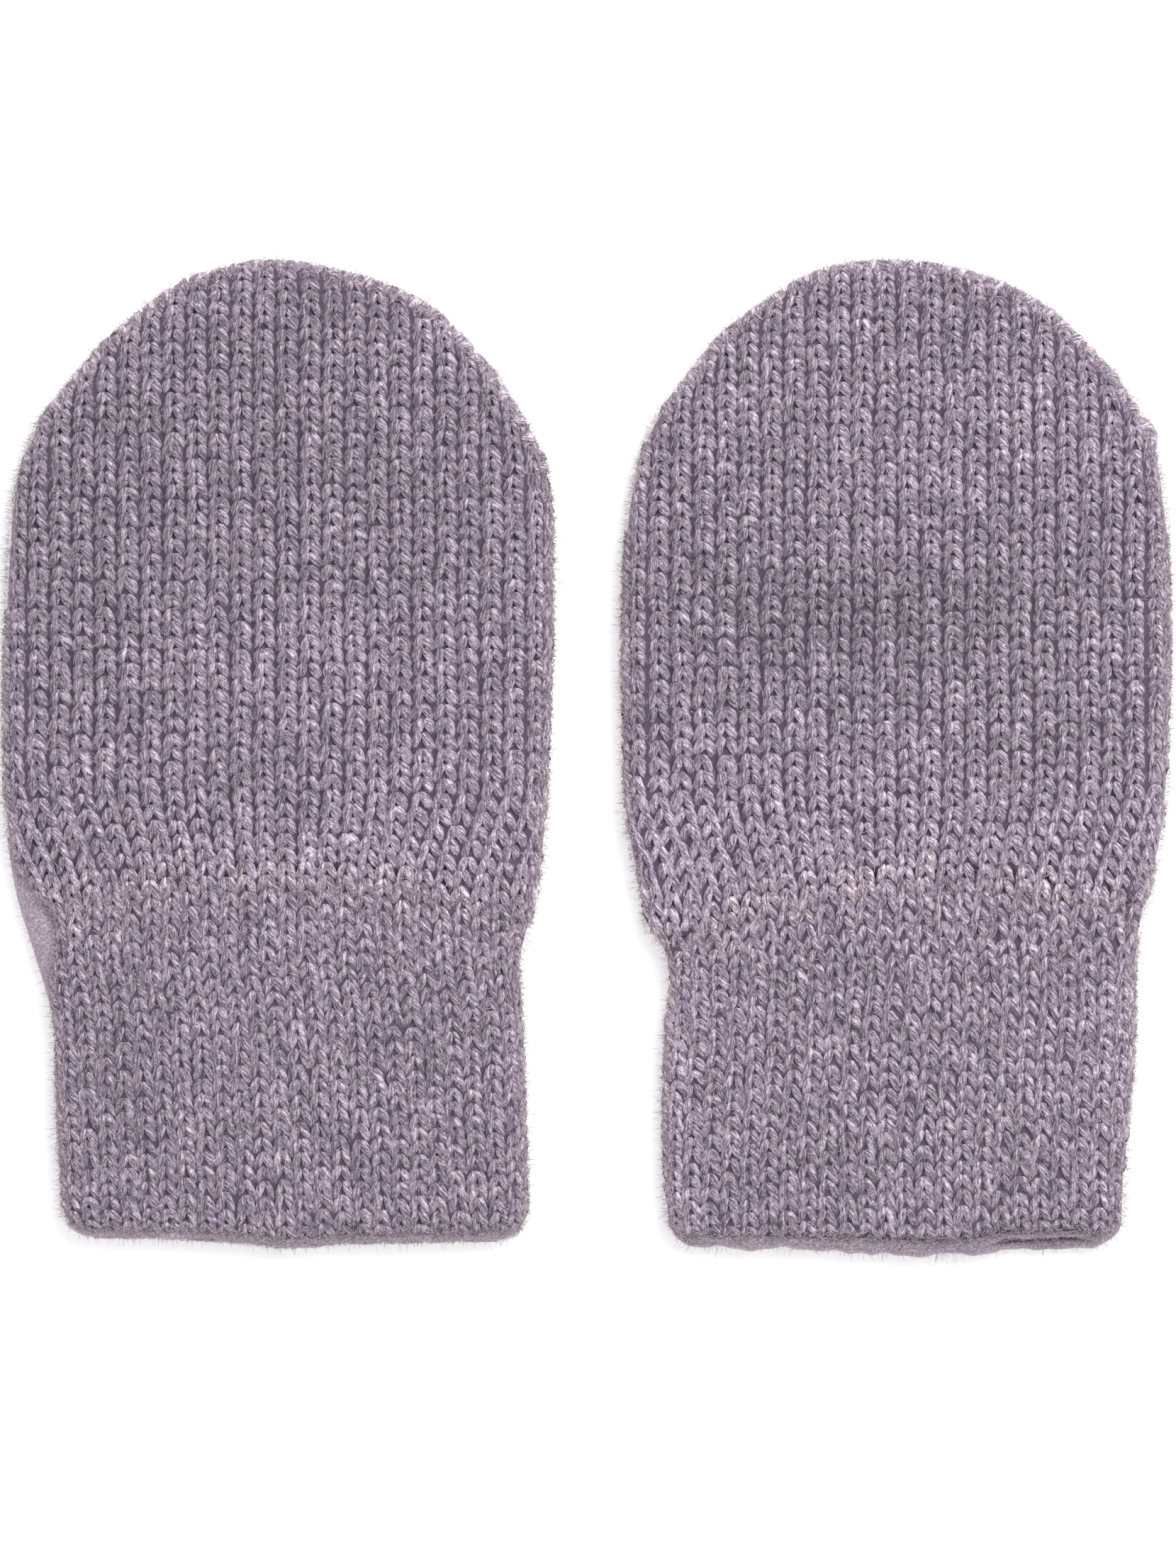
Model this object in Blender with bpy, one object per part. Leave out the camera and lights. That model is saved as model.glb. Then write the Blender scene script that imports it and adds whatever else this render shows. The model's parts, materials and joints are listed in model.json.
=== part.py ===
"""A pair of thumbless knitted mittens for a baby, laid flat side by side.

The fingertips point to +Y and the mittens rest on Z = 0. Each mitten has four panels of knit
cloth: a front and a back for the hand, and a front and a back for the tighter cuff. The front
panels lie on the back panels. A front panel carries the knit's upright ribs on its outer side,
over a plain inside, and every outer edge is rounded where the cloth turns under.

Sizes are in millimetres and are scaled to metres when a panel is built. In a mitten's own
measures, x runs across from the hand's centre line and the height runs up from the hem.
"""

from collections import namedtuple
from math import cos, radians

import bmesh
import bpy
import numpy as np
from mathutils import Vector
from mathutils.geometry import delaunay_2d_cdt

MM = 0.001

# The cloth
WALL = 2.4
GAP = 0.3
EDGE_RADIUS = 2.6
HEM_CORNER = 4.0
HAND_LOFT = 1.5
CUFF_LOFT = 0.9
LOFT_REACH = 18.0
LOFT_BLEND = 16.0

# The knit: ribs across a panel, their spacing, how deep the grooves between them are, and how far
# a rib's shoulder stands from the groove, as a share of the spacing
RIBS = 25
HAND_RIB = 2.88
CUFF_RIB = 2.46
RIB_BLEND = (-2.0, 13.0)
HAND_GROOVE = 0.5
CUFF_GROOVE = 0.32
SHOULDER = 0.27

# The joined seam between hand and cuff stands up as a soft ridge
RIDGE_RISE = 0.35
RIDGE_REACH = 3.0

# How finely the panels are divided
SIDE_STEP = 3.4
ROW_STEP = 4.2
PLAIN_STEP = 9.0
PLAIN_COLUMNS = 4
HEM_STEPS = 14
BACK_CUT_STEPS = 8
EDGE_TURNS = (35.0, 65.0, 90.0)
HEM_TURNS = (0.0, 30.0, 60.0)
SHARP_FROM = 38.0
CLEAR_OF_EDGE = 0.8
CLEAR_OF_CUT = 1.5
CLEAR_OF_CORNER = 1.02

# The outline has more steps than its straight height needs, as the tip is longer round. The power
# keeps them nearly even, both along the straight sides and round the tip.
TIP_EXTRA = 1.25
TIP_POWER = 0.75

# The underside is exactly flat from a little before the rounding's end.
FLAT_FROM = 0.96

# Limits of the geometry: tries to meet the outline, how level an edge is, and when points merge
MEETING_TRIES = 12
NEARLY_LEVEL = 1e-9
MERGE_WITHIN = 1e-5

YARN_COLOUR = (0.29, 0.245, 0.305, 1.0)
YARN_ROUGHNESS = 0.95

Section = namedtuple("Section", "height left right")
Junction = namedtuple("Junction", "middle left right")
Corner = namedtuple("Corner", "side height out reach")
Fold = namedtuple("Fold", "x height length width turn rise")
Mitten = namedtuple("Mitten", "name place hem_step sections junction corners tuck folds")

LEFT = Mitten(
    name="left",
    place=(-39.4, -61.5),
    hem_step=0.4,
    sections=[
        Section(0.0, -27.1, 32.2),
        Section(18.0, -28.1, 31.8),
        Section(29.0, -28.6, 31.4),
        Section(35.5, -30.4, 31.2),
        Section(43.5, -32.9, 33.2),
        Section(51.0, -34.2, 34.2),
        Section(66.0, -34.9, 34.9),
        Section(83.0, -34.4, 35.4),
        Section(96.0, -33.2, 34.8),
        Section(103.0, -30.8, 32.4),
        Section(108.5, -27.0, 29.1),
        Section(115.0, -21.2, 23.8),
        Section(120.8, -13.8, 16.3),
        Section(124.0, -6.3, 6.0),
        Section(124.8, -0.8, -0.8),
    ],
    junction=Junction(46.0, 41.5, 41.0),
    corners=[Corner("right", 99.3, 0.5, 1.6), Corner("left", 105.0, 0.3, 1.6)],
    tuck=Corner("left", 40.0, -3.6, 5.5),
    folds=[
        Fold(-22.0, 85.0, 26.0, 6.0, 90.0, -0.35),
        Fold(6.0, 56.0, 22.0, 7.0, 0.0, 0.45),
        Fold(4.0, 110.0, 16.0, 7.0, 0.0, -0.3),
        Fold(20.0, 72.0, 16.0, 8.0, 60.0, 0.3),
        Fold(-4.0, 20.0, 20.0, 5.0, -20.0, 0.25),
    ],
)

RIGHT = Mitten(
    name="right",
    place=(39.4, -63.3),
    hem_step=1.7,
    sections=[
        Section(0.0, -29.0, 28.8),
        Section(11.0, -29.7, 29.2),
        Section(29.0, -29.5, 30.6),
        Section(36.5, -28.9, 30.6),
        Section(38.3, -29.2, 30.8),
        Section(41.5, -31.4, 31.1),
        Section(46.0, -32.6, 32.2),
        Section(53.0, -34.1, 33.8),
        Section(68.0, -34.9, 34.8),
        Section(83.0, -35.0, 35.0),
        Section(96.0, -34.0, 34.2),
        Section(104.5, -31.6, 32.4),
        Section(110.0, -28.0, 29.2),
        Section(117.0, -22.3, 23.2),
        Section(122.6, -15.0, 16.0),
        Section(125.8, -8.2, 6.8),
        Section(126.6, -1.0, -1.0),
    ],
    junction=Junction(47.4, 39.3, 44.0),
    corners=[Corner("right", 104.8, 0.7, 1.6), Corner("left", 108.0, 0.3, 1.8)],
    tuck=None,
    folds=[
        Fold(2.0, 77.0, 34.0, 5.5, -5.0, -0.6),
        Fold(-4.0, 60.0, 24.0, 6.5, 0.0, 0.5),
        Fold(0.0, 99.0, 20.0, 7.0, 0.0, 0.3),
        Fold(6.0, 14.0, 22.0, 5.0, 8.0, 0.25),
    ],
)


def smooth(t):
    """0 below 0, 1 above 1, and an even S between them."""
    t = np.clip(t, 0.0, 1.0)
    return t * t * (3.0 - 2.0 * t)


def bump(distance, reach):
    """A soft hill, 1 at its middle."""
    return np.exp(-((distance / reach) ** 2))


def through(knots, values, at):
    """A smooth curve through the values at rising knots, without overshoot at its ends."""
    knots, values = np.asarray(knots, float), np.asarray(values, float)
    slopes = np.gradient(values, knots)
    at = np.clip(at, knots[0], knots[-1])
    i = np.clip(np.searchsorted(knots, at) - 1, 0, len(knots) - 2)
    span = knots[i + 1] - knots[i]
    t = (at - knots[i]) / span
    rise = values[i + 1] - values[i]
    start, end = slopes[i] * span, slopes[i + 1] * span
    return values[i] + t * start + t * t * (3 * rise - 2 * start - end) + t**3 * (start + end - 2 * rise)


def drop(mitten, height):
    """How far below the tip a height is, as a root, in which the round tip is nearly straight."""
    return np.sqrt(np.clip(mitten.sections[-1].height - height, 0.0, None))


def side_at(mitten, side, height, front):
    """The x of a mitten's left or right outline at a height."""
    rows = mitten.sections[::-1]
    knots = [drop(mitten, row.height) for row in rows]
    x = through(knots, [getattr(row, side) for row in rows], drop(mitten, height))
    out = -1.0 if side == "left" else 1.0
    for corner in mitten.corners:
        if corner.side == side:
            x = x + out * corner.out * bump(height - corner.height, corner.reach)
    tuck = mitten.tuck
    if front and tuck is not None and tuck.side == side:
        x = x + out * tuck.out * bump(height - tuck.height, tuck.reach)
    above_hem = np.clip((height - hem_height(mitten, front)) / HEM_CORNER, 0.0, 1.0)
    return x - out * HEM_CORNER * (1.0 - np.sqrt(1.0 - (1.0 - above_hem) ** 2))


def hem_height(mitten, front):
    """The front's hem ends a little above the back's."""
    return mitten.hem_step if front else 0.0


def junction_height(mitten, x):
    """The arched line where the hand is joined to the cuff."""
    ends = mitten.junction
    left = side_at(mitten, "left", ends.left, False)
    right = side_at(mitten, "right", ends.right, False)
    t = 2.0 * (x - left) / (right - left) - 1.0
    tilt = 0.5 * (ends.right - ends.left)
    arch = ends.middle - 0.5 * (ends.right + ends.left)
    return ends.middle + tilt * t - arch * t * t


def rib_x(mitten, rib, height):
    """The x of a rib line at a height. Whole numbers are the grooves, counted from the middle."""
    middle = 0.5 * (side_at(mitten, "left", height, False) + side_at(mitten, "right", height, False))
    low, high = RIB_BLEND
    above = height - junction_height(mitten, middle)
    grown = smooth((above - low) / (high - low))
    # The tip's curve must not swing the ribs, so their middle comes to rest in the hand.
    middle = middle * (1.0 - grown)
    return middle + rib * (CUFF_RIB + (HAND_RIB - CUFF_RIB) * grown)


def outline(mitten, front):
    """Points round a mitten's edge, from the left end of the hem up, over the tip and down."""
    top, hem = mitten.sections[-1].height, hem_height(mitten, front)
    side = top - hem - HEM_CORNER
    steps = int(round(TIP_EXTRA * side / SIDE_STEP))
    roots = np.sqrt(side) * np.linspace(1.0, 0.0, steps + 1) ** TIP_POWER
    corner = hem + HEM_CORNER * (1.0 - np.cos(np.radians(HEM_TURNS)))
    heights = np.concatenate([corner, top - roots**2])
    left = [(side_at(mitten, "left", h, front), h) for h in heights]
    right = [(side_at(mitten, "right", h, front), h) for h in heights[-2::-1]]
    span = np.linspace(right[-1][0], left[0][0], HEM_STEPS + 1)[1:-1]
    return np.array(left + right + [(x, hem) for x in span])


def edge_distance(points, edge):
    """How far inside the closed outline each point lies."""
    ends = np.roll(edge, -1, axis=0)
    along = ends - edge
    offset = points[:, None, :] - edge[None, :, :]
    share = (offset * along).sum(2) / (along * along).sum(1)
    share = np.clip(share, 0.0, 1.0)
    return np.linalg.norm(offset - share[:, :, None] * along, axis=2).min(1)


def loft(mitten, points, inside):
    """How far the front's inner side rises off the back where the empty mitten stands open."""
    above = points[:, 1] - junction_height(mitten, points[:, 0])
    full = CUFF_LOFT + (HAND_LOFT - CUFF_LOFT) * smooth(above / LOFT_BLEND)
    return full * smooth(inside / LOFT_REACH)


def relief(mitten, points):
    """The large soft folds and the ridge along the junction."""
    x, height = points[:, 0], points[:, 1]
    rise = RIDGE_RISE * bump(height - junction_height(mitten, x), RIDGE_REACH)
    for fold in mitten.folds:
        turn = radians(fold.turn)
        across, up = x - fold.x, height - fold.height
        along = across * cos(turn) + up * np.sin(turn)
        beside = up * cos(turn) - across * np.sin(turn)
        rise = rise + fold.rise * bump(along, fold.length) * bump(beside, fold.width)
    return rise


def rib_lines():
    """The lines that points are set on: each groove, and the shoulders on both sides of it."""
    grooves = np.arange(-(RIBS // 2) - 1, RIBS // 2 + 2)
    return (grooves[:, None] + np.array([-SHOULDER, 0.0, SHOULDER])).ravel()


def grooves(mitten, points):
    """The depth of the knit's grooves below its ribs."""
    x, height = points[:, 0], points[:, 1]
    middle = rib_x(mitten, 0, height)
    rib = (x - middle) / (rib_x(mitten, 1, height) - middle)
    deep = np.where(height > junction_height(mitten, x), HAND_GROOVE, CUFF_GROOVE)
    return deep * (1.0 - np.clip(np.abs(rib - np.round(rib)) / SHOULDER, 0.0, 1.0))


def front_inner(mitten, points, edge):
    """The heights of the front's inner side, which stands off the back by the gap and the loft."""
    return WALL + GAP + loft(mitten, points, edge_distance(points, edge))


def front_outer(mitten, points, edge):
    """The heights of the front's ribbed outer side, which turns down to the inner one at the edge."""
    inside = edge_distance(points, edge)
    turned = np.clip(inside / EDGE_RADIUS, 0.0, 1.0)
    wall = WALL + relief(mitten, points) - grooves(mitten, points)
    return front_inner(mitten, points, edge) + wall * np.sqrt(1.0 - (1.0 - turned) ** 2)


def back_inner(mitten, points, edge):
    """The heights of the back's flat inner side."""
    return np.full(len(points), WALL)


def back_outer(mitten, points, edge):
    """The heights of the back's underside, flat inside the rounded edge."""
    turned = np.clip(edge_distance(points, edge) / (FLAT_FROM * EDGE_RADIUS), 0.0, 1.0)
    return WALL * (1.0 - np.sqrt(1.0 - (1.0 - turned) ** 2))


def junction_end(mitten, side, front, shift):
    """Where the junction line, moved up or down by the shift, meets a side of the outline."""
    height = getattr(mitten.junction, side)
    for _ in range(MEETING_TRIES):
        height = junction_height(mitten, side_at(mitten, side, height, front)) + shift
    return side_at(mitten, side, height, front)


def cut_line(mitten, front, shift):
    """Points from left to right along the junction, moved up or down by half the seam's gap."""
    left = junction_end(mitten, "left", front, shift)
    right = junction_end(mitten, "right", front, shift)
    turns = [EDGE_RADIUS * (1.0 - cos(radians(turn))) for turn in EDGE_TURNS]
    if front:
        middle = rib_x(mitten, rib_lines(), mitten.junction.middle)
        middle = rib_x(mitten, rib_lines(), junction_height(mitten, middle))
    else:
        middle = np.linspace(left, right, BACK_CUT_STEPS + 1)
    clear = turns[-1] + CLEAR_OF_EDGE
    middle = [x for x in middle if left + clear < x < right - clear]
    xs = [left, *(left + t for t in turns), *middle, *(right - t for t in turns[::-1]), right]
    return [(x, junction_height(mitten, x) + shift) for x in xs]


def panel_boundary(mitten, front, hand, edge):
    """A panel's closed boundary, and how many of its points lie on the seam's cut."""
    shift = 0.5 * GAP if hand else -0.5 * GAP
    cut = cut_line(mitten, front, shift)
    peak = int(edge[:, 1].argmax())
    left, right = edge[:peak], edge[peak + 1 :]
    if hand:
        up = [p for p in left if p[1] > cut[0][1] + CLEAR_OF_CORNER]
        down = [p for p in right if p[1] > cut[-1][1] + CLEAR_OF_CORNER]
        return np.array(cut[::-1] + up + [edge[peak]] + down), len(cut)
    up = [p for p in left if p[1] < cut[0][1] - CLEAR_OF_CORNER]
    down = [p for p in right if p[1] < cut[-1][1] - CLEAR_OF_CORNER]
    return np.array(cut + down + up), len(cut)


def inward_points(boundary, cut_count, edge):
    """Points inside the rounded edge, opposite each boundary point that isn't on the cut."""
    points = []
    count = len(boundary)
    for i in range(cut_count, count):
        before, after = boundary[i - 1], boundary[(i + 1) % count]
        normal = np.array([after[1] - before[1], before[0] - after[0]])
        normal /= np.linalg.norm(normal)
        for turn in EDGE_TURNS:
            points.append(boundary[i] + normal * EDGE_RADIUS * (1.0 - cos(radians(turn))))
    return np.array(points)


def lattice(mitten, low, high, ribbed):
    """Points in columns, along every rib line or on a plain open grid, and how many to a column."""
    step = ROW_STEP if ribbed else PLAIN_STEP
    heights = np.linspace(low, high, int((high - low) / step) + 2)
    if ribbed:
        points = [(rib_x(mitten, line, h), h) for line in rib_lines() for h in heights]
    else:
        columns = np.arange(-PLAIN_COLUMNS, PLAIN_COLUMNS + 1) * PLAIN_STEP
        points = [(x, h) for x in columns for h in heights]
    return np.array(points), len(heights)


def inner_lattice(columns, boundary, cut_count, edge):
    """The points that lie inside the panel, clear of its rounded edge and of its cut.

    The second value pairs the points that are neighbours in a column.
    """
    points, rows = columns
    ends = np.roll(boundary, -1, axis=0)
    above = (boundary[None, :, 1] > points[:, None, 1]) != (ends[None, :, 1] > points[:, None, 1])
    rise = np.where(ends[:, 1] == boundary[:, 1], NEARLY_LEVEL, ends[:, 1] - boundary[:, 1])
    crossing = boundary[:, 0] + (points[:, None, 1] - boundary[:, 1]) / rise * (ends - boundary)[:, 0]
    within = (above & (crossing > points[:, None, 0])).sum(1) % 2 == 1
    cut = boundary[:cut_count]
    from_cut = np.linalg.norm(points[:, None, :] - cut[None, :, :], axis=2).min(1)
    clear = edge_distance(points, edge) > EDGE_RADIUS + CLEAR_OF_EDGE
    kept = within & clear & (from_cut > CLEAR_OF_CUT)
    place = np.cumsum(kept) - 1
    starts = [i for i in range(len(points) - 1) if (i + 1) % rows and kept[i] and kept[i + 1]]
    return points[kept], [(place[i], place[i + 1]) for i in starts]


def triangles_over(boundary, inner, lines):
    """Triangles that fill a boundary, use the inner points and keep the lines between them."""
    points = [Vector(p) for p in boundary] + [Vector(p) for p in inner]
    count = len(boundary)
    kept = [(int(a) + count, int(b) + count) for a, b in lines]
    whole = [list(range(count))]
    flat, _, faces, sources, _, _ = delaunay_2d_cdt(points, kept, whole, 1, MERGE_WITHIN)
    source = [min(found) for found in sources]
    return np.array([tuple(p) for p in flat]), faces, source


def panel_mesh(boundary, cut_count, upper, lower):
    """One closed wall between an upper and a lower side that meet along the boundary.

    Each side is (inner points, lines between them, function that gives the heights of points).
    The sides share the points of the rounded edge, and a strip of faces joins them at the cut.
    """
    mesh = bmesh.new()
    rims = []
    for inner, lines, height_of in (upper, lower):
        flat, faces, source = triangles_over(boundary, inner, lines)
        heights = height_of(flat)
        corners, rim = [], {}
        for point, height, start in zip(flat, heights, source):
            on_edge = cut_count - 1 <= start < len(boundary) or start == 0
            if rims and on_edge:
                corners.append(rims[0][start])
            else:
                corners.append(mesh.verts.new((point[0] * MM, point[1] * MM, height * MM)))
            if start < len(boundary):
                rim[start] = corners[-1]
        for face in faces:
            loop = [corners[i] for i in face]
            mesh.faces.new(loop[::-1] if rims else loop)
        rims.append(rim)
    for i in range(cut_count - 1):
        loop = [rims[0][i], rims[0][i + 1], rims[1][i + 1], rims[1][i]]
        mesh.faces.new(list(dict.fromkeys(loop))[::-1])
    bmesh.ops.recalc_face_normals(mesh, faces=mesh.faces)
    bmesh.ops.triangulate(mesh, faces=[f for f in mesh.faces if len(f.verts) > 3])
    return mesh


def knit_material(name):
    material = bpy.data.materials.new(name)
    material.use_nodes = True
    shader = material.node_tree.nodes["Principled BSDF"]
    shader.inputs["Base Color"].default_value = YARN_COLOUR
    shader.inputs["Roughness"].default_value = YARN_ROUGHNESS
    shader.inputs["Metallic"].default_value = 0.0
    return material


def add_panel(mitten, front, hand):
    """One panel of cloth as its own object."""
    edge = outline(mitten, front)
    boundary, cut_count = panel_boundary(mitten, front, hand, edge)
    turned = inward_points(boundary, cut_count, edge)
    low, high = boundary[:, 1].min(), boundary[:, 1].max()
    if front:
        ribbed, lines = inner_lattice(lattice(mitten, low, high, True), boundary, cut_count, edge)
        plain, _ = inner_lattice(lattice(mitten, low, high, False), boundary, cut_count, edge)
        outer = np.concatenate([ribbed, turned])
        upper = (outer, lines, lambda points: front_outer(mitten, points, edge))
        lower = (plain, [], lambda points: front_inner(mitten, points, edge))
    else:
        upper = (np.empty((0, 2)), [], lambda points: back_inner(mitten, points, edge))
        lower = (turned, [], lambda points: back_outer(mitten, points, edge))
    mesh = panel_mesh(boundary, cut_count, upper, lower)
    name = f"{mitten.name}_{'hand' if hand else 'cuff'}_{'front' if front else 'back'}"
    data = bpy.data.meshes.new(name)
    mesh.to_mesh(data)
    mesh.free()
    data.materials.append(knit_material(name + "_knit"))
    data.shade_smooth()
    data.set_sharp_from_angle(angle=radians(SHARP_FROM))
    panel = bpy.data.objects.new(name, data)
    panel.location = (mitten.place[0] * MM, mitten.place[1] * MM, 0.0)
    bpy.context.scene.collection.objects.link(panel)
    return panel


def main():
    for old in list(bpy.data.objects):
        bpy.data.objects.remove(old)
    for mitten in (LEFT, RIGHT):
        for front in (False, True):
            for hand in (True, False):
                add_panel(mitten, front, hand)


main()
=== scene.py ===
"""The looks of a pair of thumbless knitted baby mittens: the cloth, every stitch, the seam round
the tip, the turned edges and the fuzz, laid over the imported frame, with a white floor and soft light.

Sizes are in millimetres and are scaled to metres when a mesh is built. In a mitten's own measures,
x runs across from the hand's centre line and the height runs up from the hem.
"""

import json
from collections import namedtuple
from math import pi

import bmesh
import bpy
import numpy as np
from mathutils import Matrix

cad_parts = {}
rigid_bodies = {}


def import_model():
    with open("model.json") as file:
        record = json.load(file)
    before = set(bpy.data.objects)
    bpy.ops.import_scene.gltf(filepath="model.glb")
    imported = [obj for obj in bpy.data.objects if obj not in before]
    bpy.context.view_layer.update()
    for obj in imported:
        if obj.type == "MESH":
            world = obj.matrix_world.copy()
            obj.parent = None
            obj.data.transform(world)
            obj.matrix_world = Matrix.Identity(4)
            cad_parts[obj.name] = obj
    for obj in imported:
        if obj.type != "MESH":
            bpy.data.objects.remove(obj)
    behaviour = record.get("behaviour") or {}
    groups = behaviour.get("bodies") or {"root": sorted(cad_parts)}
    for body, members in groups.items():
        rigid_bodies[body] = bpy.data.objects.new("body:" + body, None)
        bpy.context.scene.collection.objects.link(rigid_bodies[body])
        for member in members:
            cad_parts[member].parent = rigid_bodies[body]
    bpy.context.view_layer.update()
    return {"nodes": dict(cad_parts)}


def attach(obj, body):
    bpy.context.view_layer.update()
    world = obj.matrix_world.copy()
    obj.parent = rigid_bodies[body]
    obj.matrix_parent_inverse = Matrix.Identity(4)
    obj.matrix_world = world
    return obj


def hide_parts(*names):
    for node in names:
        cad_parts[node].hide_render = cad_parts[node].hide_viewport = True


MM = 0.001

# The cloth, as in the frame
WALL = 2.4
GAP = 0.3
EDGE_RADIUS = 2.6
HEM_CORNER = 4.0
HAND_LOFT = 1.5
CUFF_LOFT = 0.9
LOFT_REACH = 18.0
LOFT_BLEND = 16.0
HAND_RIB = 2.88
CUFF_RIB = 2.46
RIB_BLEND = (-2.0, 13.0)
RIDGE_RISE = 0.35
RIDGE_REACH = 3.0

# The distance along the cloth from its edge to where it lies flat, and how much longer that is
# than the same distance seen from above
EDGE_ARC = EDGE_RADIUS * pi / 2
EDGE_GAIN = EDGE_ARC - EDGE_RADIUS

# The points of an outline: round a hem's corner, and from there to the tip
CORNER_TURNS = np.radians(np.arange(0.0, 90.0, 10.0))
SIDE_POINTS = 111
SIDE_POWER = 0.75

# The knit
WALES = 13
HAND_ROWS = (-4, 52)
HAND_COURSE = 1.84
COURSE_SHRINK = 0.0014
CUFF_COURSES = 26
ROWS_LEVEL = 0.5
FLAT_ROWS_ABOVE = 24.0
FIRST_COURSE_DROP = 0.3
PLACE_ROUNDS = 4

# How far stitches stray from their even places, across and along: a slow drift and a scatter
DRIFT = (0.1, 0.14)
DRIFT_REACH = 17.0
WALE_DRIFT_REACH = 15.0
WALE_DRIFT_WAVES = 9
WALE_DRIFT_SCALE = (3.0, 0.5)
SCATTER = (0.075, 0.09)

# Which stitches a panel keeps, by the middle of each. The last three are shares of a course.
EDGE_CLEAR = 0.1
HEM_CLEAR = -1.15
STITCH_MIDDLE = 0.6
HAND_FROM = -0.75
CUFF_UP_TO = -0.35

# The shell under the stitches: how deep it lies, and how much less near the edge
BASE_DEPTH = 0.9
CUFF_BASE_DEPTH = 0.7
BASE_EDGE = 0.6
BASE_EDGE_REACH = 3.0
SIDE_CLEAR = 0.3
MERGE_WITHIN = 1e-6

# A stitch is two legs that meet towards the fingertips. Across sizes are shares of the rib's
# spacing, sizes along it are shares of the course, and depths are in millimetres. A leg's mesh
# has so many rings along it and corners round it.
FRONT_LEG = (4, 6)
BACK_LEG = (2, 5)
LEG_TOP = 0.05
HAND_FOOT = 0.475
CUFF_FOOT = 0.5
LEG_LEAN = -0.03
LEG_LONG = 1.5
LEG_START = 0.38
LEG_BULGE = 0.05
LEG_WIDE = 0.24
LEG_THICK = 0.52
LEG_SWELL_POWER = 0.8
TOP_DIP = 0.3
FOOT_DIP = 1.0
SIDE_DIP = 0.3
TOP_PART = 0.38
FOOT_PART = 0.58
EDGE_DIPS = 0.25
CUFF_DIPS = 0.62
HAND_GROOVE = 0.85
CUFF_GROOVE = 0.15
GROOVE_FADE = 8.0
GROOVE_REACH = 0.34

# The spread of each of a leg's measures, from one leg to the next
TOP_SPREAD = 0.035
FOOT_SPREAD = 0.05
LONG_SPREAD = 0.08
THICK_SPREAD = 0.07
WIDE_SPREAD = 0.09
LIFT_SPREAD = 0.06
TONE_SPREAD = 0.04
LEG_UNEVEN = 0.1

# A strand's rings run between these angles, and one wide side closes them underneath, at this
# share of the strand's thickness
RING_TURN = (-28.0, 208.0)
RING_DOWN = 0.75

# The knit lies smoother within this distance of its edge
EDGE_SMOOTH = 4.5

# How light the wool is, as shares of its usual colour: slow random changes over the cloth, with their
# reaches; legs on the right of each stitch painted lighter, a painted highlight as from light on the
# right;
# paler, warmer legs at the edge, partly the warmer colour of edge fibres and partly painted light where
# the cloth turns under; and warm flecks where hand and cuff join
CLOTH_WAVES = ((0.03, 22.0), (0.03, 6.0))
RIGHT_LEG_PAINTED_LIGHT = 1.05
CUFF_TONE = 0.905
EDGE_WARMTH_AND_PAINTED_LIGHT = (0.21, 0.2, 0.13)
EDGE_WARMTH_AND_LIGHT_REACH = 3.5
FLECK_TONE = (0.32, 0.29, 0.1)
FLECK_REACH = 3.5
FLECK_POWER = 4
FELT_TONE = (1.1, 1.09, 1.04)

# Rolls: turned edges with no stitches on them. A roll's half width and half thickness close to
# a point at each end over so many of its places. Waves are sizes with their reaches.
Roll = namedtuple("Roll", "wide thick closing tone rough", defaults=(1.0, 1.0))
JOIN = Roll(1.3, 0.6, 3.0)
BAND = Roll(2.5, 1.7, 8.7, 1.12, 0.2)
RIM = Roll(0.5, 0.45, 4.0, 1.1)
ROLL_SIDES = 16
WIDE_WAVES = ((0.07, 6.0), (0.05, 2.3))
ROLL_WAVES = ((0.05, 7.0), (0.03, 2.0))

# The hem: its sway, its opening's two slopes, its roll's places, sizes and closeness to the cloth
HEM_SWAY_REACH = 7.0
HEM_MEET = 0.6
OPENING_SLOPES = (4.0, 3.0)
HEM_TURNS = np.radians(np.linspace(75.0, 0.0, 9))
HEM_POINTS = 74
HEM_CLOSING = 9.0
HEM_SINK = 0.05
HEM_SWELL = 0.06
HEM_ROUGH = 2.2
BACK_HEM_ROLL = 0.9
FRONT_HEM_HIGH = (0.45, 0.38)
BACK_HEM_HIGH = (0.1, 1.5)

# The places of the other rolls: the seam's turned edge where hand and cuff are joined, the smooth
# band in the tuck, and the turned edge between front and back
JOIN_INSET = 0.9
JOIN_POINTS = 50
JOIN_LIFT = -1.7
BAND_HEIGHTS = np.linspace(29.5, 51.5, 30)
BAND_INSET = 0.98
BAND_CENTRE = 1.9
RIM_INSET = 0.8

# The seam round the tip: where it starts and ends, and its strands
SEAM_BELOW = 1.0
SEAM_FROM = 0.8
SEAM_STEP = (1.7, 3.0)
SEAM_LEFT_OVER = 1.6
SEAM_RINGS = 5
SEAM_SIDES = 8
SEAM_OUT = 0.25
SEAM_REACH = (2.3, 3.3)
SEAM_SLIP = (0.5, 0.4)
SEAM_PIVOT = 0.3
SEAM_SIZES = (0.75, 1.2)
SEAM_WIDE = 0.72
SEAM_THICK = 0.5
SEAM_ENDS = 0.55
SEAM_SWELL_POWER = 0.7
SEAM_SINK = 0.42
SEAM_ARCH = 0.3
SEAM_END_DIP = 0.9
SEAM_TONES = (0.98, 1.15)
SEAM_EDGE_WARMTH_AND_LIGHT = 0.7

Junction = namedtuple("Junction", "middle left right")
Corner = namedtuple("Corner", "side height out reach")
Mitten = namedtuple(
    "Mitten",
    "name place hem_step hem_roll hem_opening hem_sway sections junction corners tuck folds shades",
)
Cloth = namedtuple("Cloth", "mitten front inside inward")
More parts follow.
